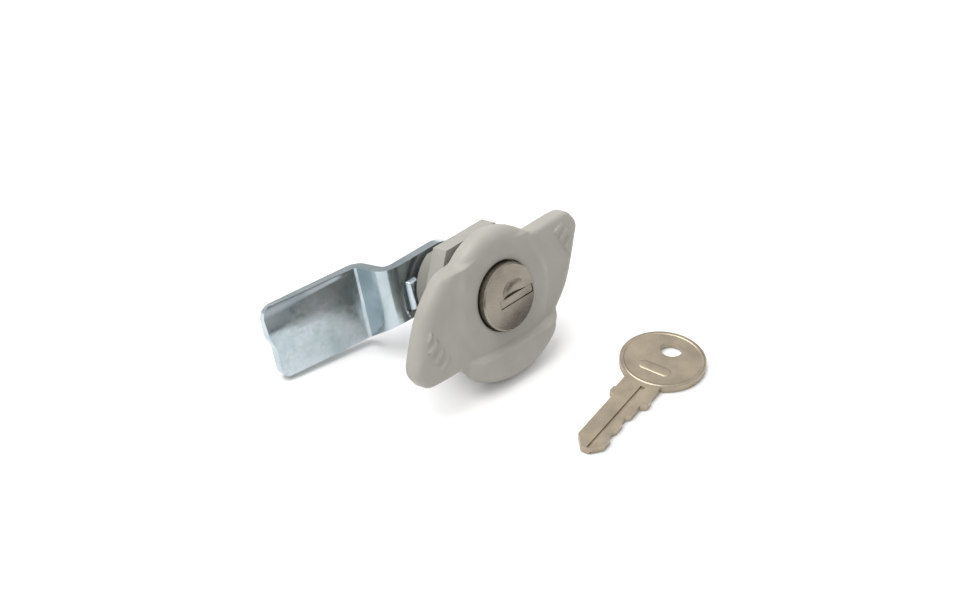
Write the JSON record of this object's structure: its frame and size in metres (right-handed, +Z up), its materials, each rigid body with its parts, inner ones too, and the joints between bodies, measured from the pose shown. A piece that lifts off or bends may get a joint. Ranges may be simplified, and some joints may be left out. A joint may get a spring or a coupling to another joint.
{
  "type": "cam lock",
  "caption": "Wing-knob cam lock for a cabinet door: cranked cam, hex nut, keyed plug with dust shutter in a two-wing knob, and its flat key beside it.",
  "frame": {"origin": "middle of the footprint of the lock and key together, on the floor they lie on", "axes": "+Z up; the knob faces -Y and leans back; the cam points to -X"},
  "size_m": [0.0881, 0.0824, 0.0385],
  "materials": {
    "grey_plastic": "matte",
    "nickel": "satin",
    "zinc_plate": "gloss",
    "steel": "satin",
    "zinc_casting": "matte",
    "brass": "satin",
    "key_nickel": "satin",
    "rubber": "matte"
  },
  "bodies": {
    "housing": {"housing_body": "grey_plastic", "flange_o_ring": "rubber", "hex_nut": "grey_plastic"},
    "knob": {"wing_knob": "grey_plastic", "neck_o_ring": "rubber", "lock_barrel": "zinc_casting", "spindle": "zinc_casting", "cam": "zinc_plate", "cam_washer": "zinc_plate", "cam_screw": "zinc_plate"},
    "plug": {"lock_plug": "nickel", "shutter_pin": "steel", "shutter_spring": "steel", "wafer_springs": "steel", "plug_clip": "steel"},
    "bolt": {"lock_bolt": "steel"},
    "shutter": {"dust_shutter": "nickel"},
    "key": {"key": "key_nickel"},
    "wafer_1": {"wafer_1": "brass"},
    "wafer_2": {"wafer_2": "brass"},
    "wafer_3": {"wafer_3": "brass"},
    "wafer_4": {"wafer_4": "brass"},
    "wafer_5": {"wafer_5": "brass"}
  },
  "joints": [
    {"name": "knob_turn", "type": "hinge", "parent": "housing", "child": "knob", "pos_m": [0.00245, 0.00615, 0.02033], "axis": [0, 0.9475, -0.3199], "range_deg": [0, 90]},
    {"name": "plug_turn", "type": "hinge", "parent": "knob", "child": "plug", "pos_m": [0.00245, 0.00615, 0.02033], "axis": [0, -0.9475, 0.3199], "range_deg": [0, 90]},
    {"name": "bolt_slide", "type": "slide", "parent": "knob", "child": "bolt", "axis": [1, 0, 0], "range_m": [0, 0.0011]},
    {"name": "shutter_swing", "type": "hinge", "parent": "plug", "child": "shutter", "pos_m": [0.00245, -0.00245, 0.02018], "axis": [-1, 0, 0], "range_deg": [0, 84], "stiffness_Nm_per_rad": 0.0001},
    {"name": "wafer_1_slide", "type": "slide", "parent": "plug", "child": "wafer_1", "axis": [-1, 0, 0], "range_m": [0, 0.0008]},
    {"name": "wafer_2_slide", "type": "slide", "parent": "plug", "child": "wafer_2", "axis": [-1, 0, 0], "range_m": [0, 0.0008]},
    {"name": "wafer_3_slide", "type": "slide", "parent": "plug", "child": "wafer_3", "axis": [-1, 0, 0], "range_m": [0, 0.0008]},
    {"name": "wafer_4_slide", "type": "slide", "parent": "plug", "child": "wafer_4", "axis": [-1, 0, 0], "range_m": [0, 0.0008]},
    {"name": "wafer_5_slide", "type": "slide", "parent": "plug", "child": "wafer_5", "axis": [-1, 0, 0], "range_m": [0, 0.0008]},
    {"name": "key_lift", "type": "slide", "parent": "housing", "child": "key", "axis": [0, 0, 1], "range_m": [0, 0.06]}
  ],
  "couplings": [
    {"joint": "bolt_slide", "follows": "plug_turn", "m_per_rad": 0.00070028}
  ]
}
